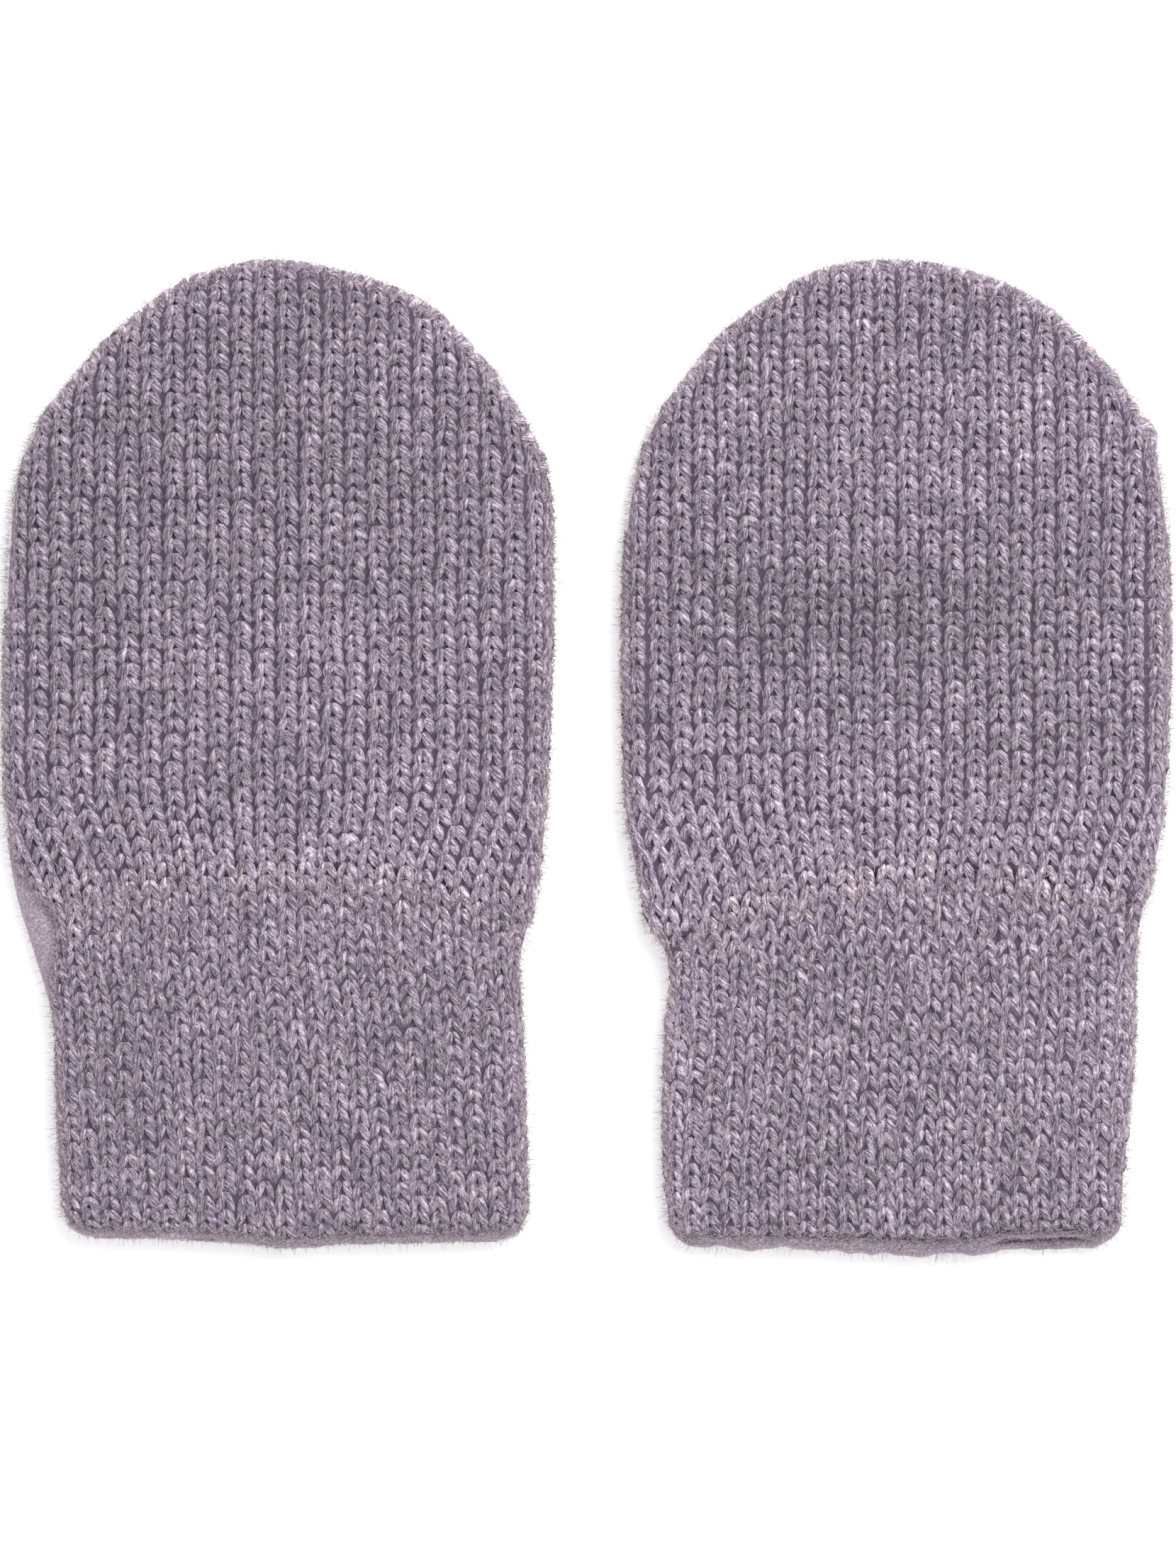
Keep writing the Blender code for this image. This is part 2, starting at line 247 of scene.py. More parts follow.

# Both mittens. A section is a height and the outline's left and right x. A fold or a painted shade is its
# middle's x and height, its length, width and turn in degrees, and its rise. A fold lifts the cloth; a
# painted shade lightens or darkens the wool's colour where light and shade fall over swells, troughs and
# creases.
# The first two corners are the ends of the seam round the tip.
LEFT = Mitten(
    name="left",
    place=(-39.4, -61.5),
    hem_step=0.4,
    hem_roll=0.65,
    hem_opening=(-2, -2),
    hem_sway=(
        (-26, 0.7), (-20, 0.55), (-10, 0.25), (-3, -0.3), (1, -0.75), (6, -0.35), (16, -0.1), (32, 0.3)
    ),
    sections=[
        (0, -27.1, 32.2),
        (18, -28.1, 31.8),
        (29, -28.6, 31.4),
        (35.5, -30.4, 31.2),
        (43.5, -32.9, 33.2),
        (51, -34.2, 34.2),
        (66, -34.9, 34.9),
        (83, -34.4, 35.4),
        (96, -33.2, 34.8),
        (103, -30.8, 32.4),
        (108.5, -27, 29.1),
        (115, -21.2, 23.8),
        (120.8, -13.8, 16.3),
        (124, -6.3, 6),
        (124.8, -0.8, -0.8),
    ],
    junction=Junction(46, 41.5, 41),
    corners=[
        Corner("right", 99.3, 0.5, 1.6),
        Corner("left", 105, 0.3, 1.6),
        Corner("left", 122.4, 1.1, 0.5),
        Corner("left", 120.6, 0.5, 0.4),
        Corner("left", 114, 0.35, 1.2),
        Corner("right", 118, 0.35, 1.2),
        Corner("right", 110.6, 0.3, 1),
    ],
    tuck=Corner("left", 40, -3.6, 5.5),
    folds=[
        (-22, 85, 26, 6, 90, -0.35),
        (6, 56, 22, 7, 0, 0.45),
        (4, 110, 16, 7, 0, -0.3),
        (20, 72, 16, 8, 60, 0.3),
        (-4, 20, 20, 5, -20, 0.25),
    ],
    # Painted light and shade: each patch lightens or darkens the wool's colour where the cloth swells,
    # dips or creases.
    shades=[
        (0, 102, 60, 38, 0, -0.14),
        (-30, 84, 9, 24, 0, -0.07),
        (0, 48, 45, 9, 0, 0.1),
        (10, 72, 14, 8, 0, 0.08),
        (-20, 55, 5, 11, 0, -0.1),
        (-19, 22, 6, 22, 0, -0.05),
        (20, 24, 5, 9, 0, -0.07),
    ],
)

RIGHT = Mitten(
    name="right",
    place=(39.4, -63.3),
    hem_step=1.7,
    hem_roll=0.55,
    hem_opening=(10, 25.8),
    hem_sway=((-29, 1), (-25, 1), (-13, 0.85), (-3, 0.3), (3, 0), (12, 0.5), (22, 0.95), (29, 1.1)),
    sections=[
        (0, -29, 28.8),
        (11, -29.7, 29.2),
        (29, -29.5, 30.6),
        (36.5, -28.9, 30.6),
        (38.3, -29.2, 30.8),
        (41.5, -31.4, 31.1),
        (46, -32.6, 32.2),
        (53, -34.1, 33.8),
        (68, -34.9, 34.8),
        (83, -35, 35),
        (96, -34, 34.2),
        (104.5, -31.6, 32.4),
        (110, -28, 29.2),
        (117, -22.3, 23.2),
        (122.6, -15, 16),
        (125.8, -8.2, 6.8),
        (126.6, -1, -1),
    ],
    junction=Junction(47.4, 39.3, 44),
    corners=[
        Corner("right", 104.8, 0.7, 1.6),
        Corner("left", 108, 0.3, 1.8),
        Corner("left", 42, 0.5, 1.3),
        Corner("left", 39.3, -0.35, 0.9),
        Corner("right", 46.4, 0.35, 1.2),
        Corner("right", 43.6, -0.3, 1),
        Corner("left", 117, 0.4, 1),
        Corner("right", 119.5, 0.35, 1),
        Corner("right", 112.5, 0.3, 1),
    ],
    tuck=None,
    folds=[
        (2, 77, 34, 5.5, -5, -0.6),
        (-4, 60, 24, 6.5, 0, 0.5),
        (0, 99, 20, 7, 0, 0.3),
        (6, 14, 22, 5, 8, 0.25),
        (-26.8, 40.7, 2.4, 0.8, 53, -0.7),
        (29.4, 45.6, 2.8, 0.8, 58, -0.9),
    ],
    # Painted light and shade: each patch lightens or darkens the wool's colour where the cloth swells,
    # dips or creases; the last two are painted shade in the creases where hand meets cuff at the sides.
    shades=[
        (0, 108, 60, 30, 0, -0.09),
        (3, 80, 45, 13, 0, -0.09),
        (-7, 80.5, 22, 7, -5, -0.13),
        (0, 104, 34, 8, 0, 0.08),
        (22, 64, 13, 7, 0, -0.12),
        (0, 52, 45, 9, 0, 0.11),
        (-28, 24, 5, 26, 0, 0.15),
        (28, 26, 5, 26, 0, 0.09),
        (-26.8, 40.7, 2.4, 0.7, 53, -0.22),
        (29.4, 45.6, 2.8, 0.8, 58, -0.3),
    ],
)


def smooth(t):
    """0 below 0, 1 above 1, and an even S between them."""
    t = np.clip(t, 0.0, 1.0)
    return t * t * (3.0 - 2.0 * t)


def bump(distance, reach):
    """A soft hill, 1 at its middle."""
    return np.exp(-((distance / reach) ** 2))


def through(knots, values, at):
    """A smooth curve through the values at rising knots, without overshoot at its ends."""
    knots, values = np.asarray(knots, float), np.asarray(values, float)
    slopes = np.gradient(values, knots)
    at = np.clip(at, knots[0], knots[-1])
    i = np.clip(np.searchsorted(knots, at) - 1, 0, len(knots) - 2)
    span = knots[i + 1] - knots[i]
    t = (at - knots[i]) / span
    rise = values[i + 1] - values[i]
    start, end = slopes[i] * span, slopes[i + 1] * span
    return values[i] + t * start + t * t * (3 * rise - 2 * start - end) + t**3 * (start + end - 2 * rise)


def top_height(mitten):
    """The height of the tip, which is in the last section."""
    return mitten.sections[-1][0]


def drop(mitten, height):
    """How far below the tip a height is, as a root, in which the round tip is nearly straight."""
    return np.sqrt(np.clip(top_height(mitten) - height, 0.0, None))


def side_at(mitten, side, height, front):
    """The x of a mitten's left or right outline at a height."""
    heights, lefts, rights = np.array(mitten.sections[::-1]).T
    x = through(drop(mitten, heights), lefts if side == "left" else rights, drop(mitten, height))
    out = -1.0 if side == "left" else 1.0
    for corner in mitten.corners:
        if corner.side == side:
            x = x + out * corner.out * bump(height - corner.height, corner.reach)
    tuck = mitten.tuck
    if front and tuck is not None and tuck.side == side:
        x = x + out * tuck.out * bump(height - tuck.height, tuck.reach)
    above_hem = np.clip((height - hem_height(mitten, front)) / HEM_CORNER, 0.0, 1.0)
    return x - out * HEM_CORNER * (1.0 - np.sqrt(1.0 - (1.0 - above_hem) ** 2))


def stretch(mitten, side, heights, front):
    """Points of a mitten's outline at heights on one side."""
    return np.column_stack([side_at(mitten, side, heights, front), heights])


def hem_height(mitten, front):
    """The front's hem ends a little above the back's."""
    return mitten.hem_step if front else 0.0


def junction_height(mitten, x):
    """The arched line where the hand is joined to the cuff."""
    ends = mitten.junction
    left = side_at(mitten, "left", ends.left, False)
    right = side_at(mitten, "right", ends.right, False)
    t = 2.0 * (x - left) / (right - left) - 1.0
    tilt = 0.5 * (ends.right - ends.left)
    arch = ends.middle - 0.5 * (ends.right + ends.left)
    return ends.middle + tilt * t - arch * t * t


def rib_x(mitten, rib, height):
    """The x of a rib line at a height. Whole numbers are the grooves, counted from the middle."""
    middle = 0.5 * (side_at(mitten, "left", height, False) + side_at(mitten, "right", height, False))
    low, high = RIB_BLEND
    above = height - junction_height(mitten, middle)
    grown = smooth((above - low) / (high - low))
    return middle * (1.0 - grown) + rib * (CUFF_RIB + (HAND_RIB - CUFF_RIB) * grown)


def rib_at(mitten, points):
    """The count of ribs from the middle to a place, as rib_x places them."""
    start = rib_x(mitten, 0.0, points[:, 1])
    return (points[:, 0] - start) / (rib_x(mitten, 1.0, points[:, 1]) - start)


def outline(mitten, front):
    """Closely set points round a mitten's edge, from the left end of the hem up, over and down."""
    top, hem = top_height(mitten), hem_height(mitten, front)
    side = top - hem - HEM_CORNER
    roots = np.sqrt(side) * np.linspace(1.0, 0.0, SIDE_POINTS) ** SIDE_POWER
    corner = hem + HEM_CORNER * (1.0 - np.cos(CORNER_TURNS))
    heights = np.concatenate([corner, top - roots**2])
    left = stretch(mitten, "left", heights, front)
    return np.concatenate([left, stretch(mitten, "right", heights[-2::-1], front)])


# The field of distances to an outline is kept on a grid, and looked up just inside its far edge
FIELD_LOW = np.array([-42.0, -6.0])
FIELD_STEP = 0.5
FIELD_SHAPE = (169, 283)
FIELD_HIGH = np.array(FIELD_SHAPE) - 1.001
LEAST_SLOPE = 0.2


def edge_field(mitten, front):
    """Distance inside the outline, negative outside it, and the inward direction, on a grid."""
    edge = outline(mitten, front)
    ends = np.roll(edge, -1, axis=0)
    xs = FIELD_LOW[0] + FIELD_STEP * np.arange(FIELD_SHAPE[0])
    hs = FIELD_LOW[1] + FIELD_STEP * np.arange(FIELD_SHAPE[1])
    points = np.stack(np.meshgrid(xs, hs, indexing="ij"), -1).reshape(-1, 2)
    nearest = np.full(len(points), np.inf)
    crossings = np.zeros(len(points), int)
    for start, end in zip(edge, ends):
        along = end - start
        offset = points - start
        share = np.clip(offset @ along / (along @ along), 0.0, 1.0)
        away = offset - share[:, None] * along
        nearest = np.minimum(nearest, (away * away).sum(1))
        spans = (points[:, 1] < start[1]) != (points[:, 1] < end[1])
        if spans.any():
            at = start[0] + (points[:, 1] - start[1]) / along[1] * along[0]
            crossings += spans & (at > points[:, 0])
    distance = np.sqrt(nearest) * np.where(crossings % 2 == 1, 1.0, -1.0)
    distance = distance.reshape(FIELD_SHAPE)
    slope = np.stack(np.gradient(distance, FIELD_STEP), -1)
    slope /= np.maximum(np.linalg.norm(slope, axis=-1, keepdims=True), LEAST_SLOPE)
    return distance, slope


def on_grid(grid, points):
    """The grid's values at points, even between its places."""
    at = np.clip((points - FIELD_LOW) / FIELD_STEP, 0.0, FIELD_HIGH)
    i = at.astype(int)
    x, h = i.T
    fx, fh = (at - i).T
    if grid.ndim == 3:
        fx, fh = fx[:, None], fh[:, None]
    low = grid[x, h] * (1 - fx) + grid[x + 1, h] * fx
    high = grid[x, h + 1] * (1 - fx) + grid[x + 1, h + 1] * fx
    return low * (1 - fh) + high * fh


def unit(vectors):
    """The vectors at length 1."""
    return vectors / np.linalg.norm(vectors, axis=-1, keepdims=True)


def from_edge(cloth, points, reach):
    """0 at the unrolled cloth's edge, 1 from the reach inwards."""
    return smooth((on_grid(cloth.inside, points) + EDGE_GAIN) / reach)


def fold_rise(folds, points):
    """The sum of soft ridges and hollows, or of patches of painted light and shade, at points."""
    rise = np.zeros(len(points))
    for x, height, length, width, turn, most in folds:
        turn = np.radians(turn)
        across, up = points[:, 0] - x, points[:, 1] - height
        along = across * np.cos(turn) + up * np.sin(turn)
        beside = up * np.cos(turn) - across * np.sin(turn)
        rise += most * bump(along, length) * bump(beside, width)
    return rise


def front_shape(mitten, plan, depth):
    """The height of a front panel's inner side, and how thick its wall is, over points."""
    above = plan[:, 1] - junction_height(mitten, plan[:, 0])
    full = CUFF_LOFT + (HAND_LOFT - CUFF_LOFT) * smooth(above / LOFT_BLEND)
    inner = WALL + GAP + full * smooth(depth / LOFT_REACH)
    wall = WALL + RIDGE_RISE * bump(above, RIDGE_REACH)
    return inner, wall + fold_rise(mitten.folds, plan)


def parted(mitten, x):
    """How far the hem's two layers stand apart along x, from 0 to 1."""
    start, end = mitten.hem_opening
    first, last = OPENING_SLOPES
    return smooth((x - start) / first) * smooth((end - x) / last)


def swayed(cloth, points):
    """The points, with those near the hem moved to its uneven line.

    Where the two layers touch, the front's hem comes down to the back's.
    """
    knots, rises = zip(*cloth.mitten.hem_sway)
    near = 1.0 - smooth(points[:, 1] / HEM_SWAY_REACH)
    rise = through(knots, rises, points[:, 0])
    if cloth.front:
        rise = rise - HEM_MEET * cloth.mitten.hem_step * (1.0 - parted(cloth.mitten, points[:, 0]))
    moved = points.copy()
    moved[:, 1] += near * rise
    return moved


def wrapped(cloth, flat, lift):
    """Where places on the unrolled cloth lie, each lifted by so much off the cloth's outer side.

    Near its edge the cloth turns under, so a place there moves in and down.
    """
    inside, inward = on_grid(cloth.inside, flat), on_grid(cloth.inward, flat)
    turn = np.clip((inside + EDGE_GAIN) / EDGE_ARC, 0.0, 1.0) * pi / 2
    depth = np.where(inside < EDGE_RADIUS, EDGE_RADIUS * (1.0 - np.cos(turn)), inside)
    plan = flat + inward * (depth - inside)[:, None]
    plan_out = plan - inward * (np.cos(turn) * lift)[:, None]
    if cloth.front:
        inner, wall = front_shape(cloth.mitten, plan, depth)
        height = inner + wall * np.sin(turn) + lift * np.sin(turn)
    else:
        height = np.maximum(WALL - (WALL + lift) * np.sin(turn), 0.0)
    return swayed(cloth, np.column_stack([plan_out, height]))


# A wobble is a sum of waves of about the same length, brought to about -1 to 1
WAVE_LENGTHS = (0.7, 1.5)
WAVE_SHARE = 0.9


def wobble(rng, points, reach, waves=5):
    """A slow random wander over the points, about -1 to 1."""
    total = np.zeros(len(points))
    for _ in range(waves):
        angle, phase = rng.uniform(0, 2 * pi, 2)
        scale = 2 * pi / (reach * rng.uniform(*WAVE_LENGTHS))
        total += np.sin((points[:, 0] * np.cos(angle) + points[:, 1] * np.sin(angle)) * scale + phase)
    return total / np.sqrt(waves * WAVE_SHARE)


def wobbles(rng, points, parts):
    """A sum of wobbles, each given as its size and its reach."""
    return sum(size * wobble(rng, points, reach) for size, reach in parts)


def course_height(mitten, hand, row, x):
    """The height of a course. The hand's courses follow the arched junction, then lie level."""
    start = junction_height(mitten, x)
    if not hand:
        low = -EDGE_GAIN - FIRST_COURSE_DROP
        return low + (start - low) * row / CUFF_COURSES
    rise = HAND_COURSE * (row - COURSE_SHRINK * row * row)
    level = ROWS_LEVEL + (1.0 - ROWS_LEVEL) * smooth(rise / FLAT_ROWS_ABOVE)
    return start * (1.0 - level) + mitten.junction.middle * level + rise


def layer_name(cloth, part):
    """The name of a mitten's part in its front or back layer."""
    return f"{cloth.mitten.name}_{part}_{'front' if cloth.front else 'back'}"


def panel_name(cloth, hand):
    """The name of a panel, which is also its node's."""
    return layer_name(cloth, "hand" if hand else "cuff")


def stitch_places(cloth, hand, rng):
    """The top of each stitch on the unrolled cloth, and its rib spacing and course."""
    mitten = cloth.mitten
    rows = np.arange(*HAND_ROWS) if hand else np.arange(CUFF_COURSES + 1)
    wale, row = np.meshgrid(np.arange(-WALES - 1, WALES + 1), rows)
    wale, row = wale.ravel().astype(float), row.ravel().astype(float)
    x = wale * HAND_RIB
    for _ in range(PLACE_ROUNDS):
        height = course_height(mitten, hand, row, x)
        x = rib_x(mitten, wale + 0.5, height)
    course = course_height(mitten, hand, row + 1.0, x) - height
    spacing = rib_x(mitten, wale + 1.0, height) - rib_x(mitten, wale, height)
    places = np.stack([x, height], 1)
    across_drift = wobble(rng, places, DRIFT_REACH)
    along_drift = wobble(rng, places * WALE_DRIFT_SCALE, WALE_DRIFT_REACH, WALE_DRIFT_WAVES)
    places += np.stack([across_drift, along_drift], 1) * DRIFT
    places += rng.normal(0.0, 1.0, places.shape) * SCATTER
    middle = places - np.stack([np.zeros(len(x)), STITCH_MIDDLE * course], 1)
    above = middle[:, 1] - junction_height(mitten, middle[:, 0])
    kept = on_grid(cloth.inside, middle) > -EDGE_GAIN + EDGE_CLEAR
    kept &= middle[:, 1] > hem_height(mitten, cloth.front) + mitten.hem_roll + HEM_CLEAR
    kept &= above > HAND_FROM * course if hand else above <= CUFF_UP_TO * course
    return places[kept], spacing[kept], course[kept]


def leg_rings(count):
    """Where a leg's rings are along it, from 0 at its top to 1 at its foot."""
    return 0.5 - 0.5 * np.cos(np.linspace(0.0, pi, count + 2))


def crosswise(paths):
    """The unit direction across each path, at each of its places."""
    ahead = unit(np.gradient(paths, axis=1))
    return np.stack([-ahead[..., 1], ahead[..., 0]], -1)


def strands(paths, across, lifts, wides, thicks, sides, seeds, uneven=1.0):
    """Closed tapered strands on the unrolled cloth.

    paths is (strand, place, 2), across the unit direction across it, and lifts, wides and thicks
    are (strand, place). The first and last place are single points, and the others are rings.
    """
    count, rings = lifts.shape[0], lifts.shape[1] - 2
    angles = np.radians(np.linspace(*RING_TURN, sides))
    inner = slice(1, -1)
    offset = wides[:, inner, None] * np.cos(angles) * uneven
    flat = paths[:, inner, None, :] + across[:, inner, None, :] * offset[..., None]
    lift = lifts[:, inner, None] + thicks[:, inner, None] * np.sin(angles) * uneven
    lift = np.maximum(lift, lifts[:, inner, None] - RING_DOWN * thicks[:, inner, None])
    flat = np.concatenate([paths[:, :1], flat.reshape(count, -1, 2), paths[:, -1:]], 1)
    lift = np.concatenate([lifts[:, :1], lift.reshape(count, -1), lifts[:, -1:]], 1)
    zero = np.zeros((count, 1))
    run = np.cumsum(np.linalg.norm(np.diff(paths, axis=1), axis=2), 1)
    run_all = np.concatenate([zero, np.repeat(run[:, :-1], sides, 1), run[:, -1:]], 1)
    round_all = (wides[:, inner, None] * (angles - pi / 2)).reshape(count, -1)
    round_all = np.concatenate([zero, round_all, zero], 1)
    marks = np.stack([run_all, round_all, np.repeat(seeds[:, None], run_all.shape[1], 1)], -1)
    firsts = flat.shape[1] * np.arange(count)[:, None, None]
    faces = (strand_faces(rings, sides) + firsts).reshape(-1, 3)
    return flat.reshape(-1, 2), lift.ravel(), marks.reshape(-1, 3), faces


def strand_faces(rings, sides):
    """The triangles of one strand."""
    faces = []
    last = 1 + rings * sides
    for s in range(sides):
        t = (s + 1) % sides
        faces.append((0, 1 + s, 1 + t))
        for r in range(rings - 1):
            a, b = 1 + r * sides, 1 + (r + 1) * sides
            faces += [(a + s, b + s, b + t), (a + s, b + t, a + t)]
        faces.append((last, last - sides + t, last - sides + s))
    return np.array(faces)


def stitch_strands(cloth, hand, rng, rings, sides):
    """Both legs of every stitch of a panel."""
    places, spacing, course = stitch_places(cloth, hand, rng)
    count = len(places)
    t = leg_rings(rings)[None]
    parts = []
    for side in (-1.0, 1.0):
        top = LEG_TOP + rng.normal(0, TOP_SPREAD, count)
        foot = (HAND_FOOT if hand else CUFF_FOOT) + rng.normal(0, FOOT_SPREAD, count)
        spread = t + LEG_BULGE * np.sin(pi * t)
        x = side * (top[:, None] + (foot - top)[:, None] * spread)
        x = (x + LEG_LEAN * (1 - t)) * spacing[:, None]
        long = (LEG_LONG + rng.normal(0, LONG_SPREAD, count)) * course
        y = LEG_START * course[:, None] - t * long[:, None]
        paths = places[:, None, :] + np.stack([x, y], -1)
        across = crosswise(paths)
        across *= np.sign(across[..., :1])
        thick = LEG_THICK * (1.0 + rng.normal(0, THICK_SPREAD, count))[:, None]
        wide = LEG_WIDE * spacing[:, None] * (1.0 + rng.normal(0, WIDE_SPREAD, count))[:, None]
        swell = 0.5 + 0.5 * np.sin(pi * t**LEG_SWELL_POWER)
        top_end = np.clip(1.0 - t / TOP_PART, 0.0, 1.0)
        foot_end = np.clip((t - 1.0) / FOOT_PART + 1.0, 0.0, 1.0)
        open_knit = from_edge(cloth, paths.reshape(-1, 2), EDGE_SMOOTH).reshape(count, -1)
        dips = TOP_DIP * top_end**2 + FOOT_DIP * foot_end**2 + SIDE_DIP * (2.0 * x / spacing[:, None]) ** 2
        dips *= (1.0 if hand else CUFF_DIPS) * (EDGE_DIPS + (1.0 - EDGE_DIPS) * open_knit)
        lifts = -thick - dips + rng.normal(0, LIFT_SPREAD, count)[:, None]
        seeds = rng.uniform(0, 1, count)
        # Legs on the right of each stitch are painted lighter: a painted highlight, as from light on the
        # right.
        tones = (RIGHT_LEG_PAINTED_LIGHT if side > 0 else 1.0) * (1.0 + rng.normal(0, TONE_SPREAD, count))
        parts.append((paths, across, lifts, wide * swell, thick * swell, seeds, tones))
    legs, across, lifts, wides, thicks, seeds, tones = (np.concatenate(part) for part in zip(*parts))
    uneven = 1.0 + rng.normal(0, LEG_UNEVEN, (2 * count, rings, sides))
    flat, lift, marks, faces = strands(legs, across, lifts, wides, thicks, sides, seeds, uneven)
    rib = rib_at(cloth.mitten, flat)
    above = flat[:, 1] - junction_height(cloth.mitten, flat[:, 0])
    groove = CUFF_GROOVE + (HAND_GROOVE - CUFF_GROOVE) * smooth(above / GROOVE_FADE)
    from_groove = np.abs(rib - np.round(rib)) * (HAND_RIB if hand else CUFF_RIB)
    lift = lift - groove * from_edge(cloth, flat, EDGE_SMOOTH) * bump(from_groove, GROOVE_REACH)
    middles = legs[:, rings // 2]
    near = bump(middles[:, 1] - junction_height(cloth.mitten, middles[:, 0]), FLECK_REACH)
    flecks = 1.0 + (near * rng.uniform(0, 1, len(near)) ** FLECK_POWER)[:, None] * FLECK_TONE
    tones = np.repeat(tones[:, None] * flecks, rings * sides + 2, axis=0)
    return (flat, lift, marks, faces, tones), legs


def add_object(name, data):
    """An object in the scene."""
    made = bpy.data.objects.new(name, data)
    bpy.context.scene.collection.objects.link(made)
    return made


def add_piece(name, data, material):
    """A smooth piece of wool that moves with the mittens' one body."""
    data.shade_smooth()
    data.materials.append(material)
    piece = add_object(name, data)
    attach(piece, "root")
    return piece


def add_mesh(name, mitten, points, faces, marks, tones, material):
    """A piece made from arrays, with a strand's own measures and tone kept for its material."""
    data = bpy.data.meshes.new(name)
    world = (points + [*mitten.place, 0.0]) * MM
    data.vertices.add(len(world))
    data.vertices.foreach_set("co", world.ravel())
    data.loops.add(faces.size)
    data.loops.foreach_set("vertex_index", faces.ravel().astype(np.int32))
    data.polygons.add(len(faces))
    data.polygons.foreach_set("loop_start", np.arange(0, faces.size, 3, dtype=np.int32))
    data.update(calc_edges=True)
    for label, values in (("strand", marks), ("tone", tones)):
        data.attributes.new(label, "FLOAT_VECTOR", "POINT").data.foreach_set("vector", values.ravel())
    return add_piece(name, data, material)


def cloth_tone_and_painted_light(cloth, rng, flat):
    """How light or dark the wool is at places on the cloth, as shares of its usual colour: slow random
    changes, painted light and shade over folds, swells and creases, and an edge painted paler and warmer.
    """
    tones = 1.0 + wobbles(rng, flat, CLOTH_WAVES)
    # Painted light and shade over swells, troughs and creases.
    tones *= 1.0 + fold_rise(cloth.mitten.shades, flat)
    # The edge is painted paler and warmer: partly the warmer colour of its fibres, partly painted light
    # where the cloth turns under.
    edge = 1.0 - from_edge(cloth, flat, EDGE_WARMTH_AND_LIGHT_REACH)
    return tones[:, None] * (1.0 + edge[:, None] * EDGE_WARMTH_AND_PAINTED_LIGHT)


def add_strands(name, cloth, flat, lift, faces, marks, tones, material):
    """Strands of the unrolled cloth, wrapped. A back's cloth faces down, so its faces turn round."""
    faces = faces if cloth.front else faces[:, ::-1]
    return add_mesh(name, cloth.mitten, wrapped(cloth, flat, lift), faces, marks, tones, material)


def add_stitches(cloth, hand, rng, material):
    """A panel's stitches, and the path of every leg."""
    rings, sides = FRONT_LEG if cloth.front else BACK_LEG
    (flat, lift, marks, faces, leg_tones), legs = stitch_strands(cloth, hand, rng, rings, sides)
    tones = leg_tones * cloth_tone_and_painted_light(cloth, rng, flat) * (1.0 if hand else CUFF_TONE)
    name = f"{panel_name(cloth, hand)}_stitches"
    return add_strands(name, cloth, flat, lift, faces, marks, tones, material), legs


def add_cloth(cloth, hand, node, material):
    """The panel's thin shell under its stitches: the node's form with its outer side let in."""
    name = f"{panel_name(cloth, hand)}_cloth"
    mesh = bmesh.new()
    mesh.from_mesh(node.data)
    bmesh.ops.remove_doubles(mesh, verts=mesh.verts, dist=MERGE_WITHIN)
    place = np.array(cloth.mitten.place)
    world = np.array([v.co for v in mesh.verts]) / MM
    plan = world[:, :2] - place
    inside, inward = on_grid(cloth.inside, plan), on_grid(cloth.inward, plan)
    cos_turn = 1.0 - np.clip(inside / EDGE_RADIUS, 0.0, 1.0)
    sin_turn = np.sqrt(1.0 - cos_turn**2)
    if cloth.front:
        inner, _ = front_shape(cloth.mitten, plan, inside)
        outer_side = world[:, 2] > inner + SIDE_CLEAR
    else:
        outer_side = world[:, 2] < WALL - SIDE_CLEAR
    deep = BASE_DEPTH if hand else CUFF_BASE_DEPTH
    deep = deep * (BASE_EDGE + (1.0 - BASE_EDGE) * smooth(inside / BASE_EDGE_REACH))
    moved = np.where(outer_side | (inside < SIDE_CLEAR), deep, 0.0)
    world[:, :2] += inward * (cos_turn * moved)[:, None]
    world[:, 2] += (-1.0 if cloth.front else 1.0) * sin_turn * moved
    world[:, :2] -= place
    world = swayed(cloth, world)
    world[:, :2] += place
    for vertex, point in zip(mesh.verts, world):
        vertex.co = point * MM
    bmesh.ops.recalc_face_normals(mesh, faces=mesh.faces)
    data = bpy.data.meshes.new(name)
    mesh.to_mesh(data)
    mesh.free()
    data.materials.clear()
    shell = add_piece(name, data, material)
    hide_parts(node.name)


def run_along(path):
    """The distance along a path to each of its places."""
    return np.concatenate([[0.0], np.cumsum(np.linalg.norm(np.diff(path, axis=0), axis=1))])


def closing(count, reach):
    """The share of a roll's size along it, falling to 0 over so many places at each end."""
    places = np.arange(count)
    return np.sqrt(np.clip(np.minimum(places, places[::-1]) / reach, 0.0, 1.0))


